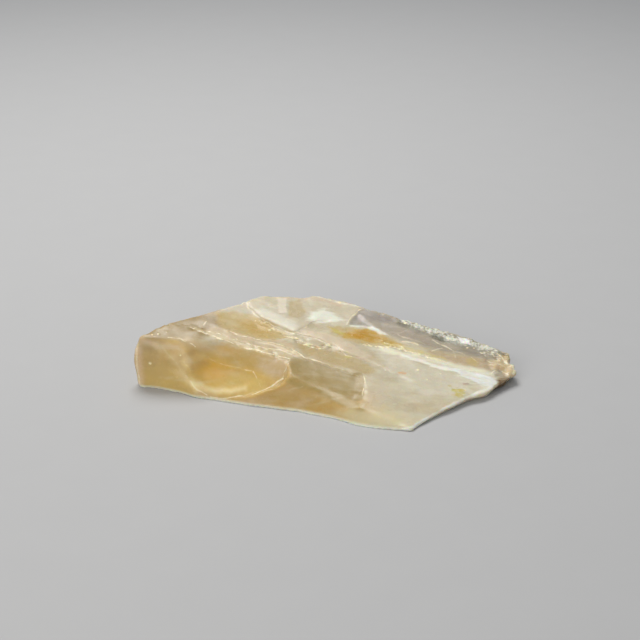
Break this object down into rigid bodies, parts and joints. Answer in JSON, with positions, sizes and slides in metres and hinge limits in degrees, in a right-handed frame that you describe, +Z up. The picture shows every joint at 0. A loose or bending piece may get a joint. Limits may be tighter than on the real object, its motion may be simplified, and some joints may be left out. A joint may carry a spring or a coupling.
{
  "type": "mineral slice",
  "caption": "Slice of milky honey-coloured stone with a sawn flat underside and a sloping, naturally broken upper side with shell-shaped scars, made to lie flat on display.",
  "frame": {"origin": "middle of the bounding box, on the sawn underside", "axes": "+X along the slice's length towards its thin tip, +Y towards its thick back corner, +Z up out of the underside"},
  "size_m": [0.0507, 0.0263, 0.008],
  "materials": {
    "slice": "waxy, translucent and milky"
  },
  "bodies": {
    "root": {"slice": "slice"}
  },
  "joints": []
}
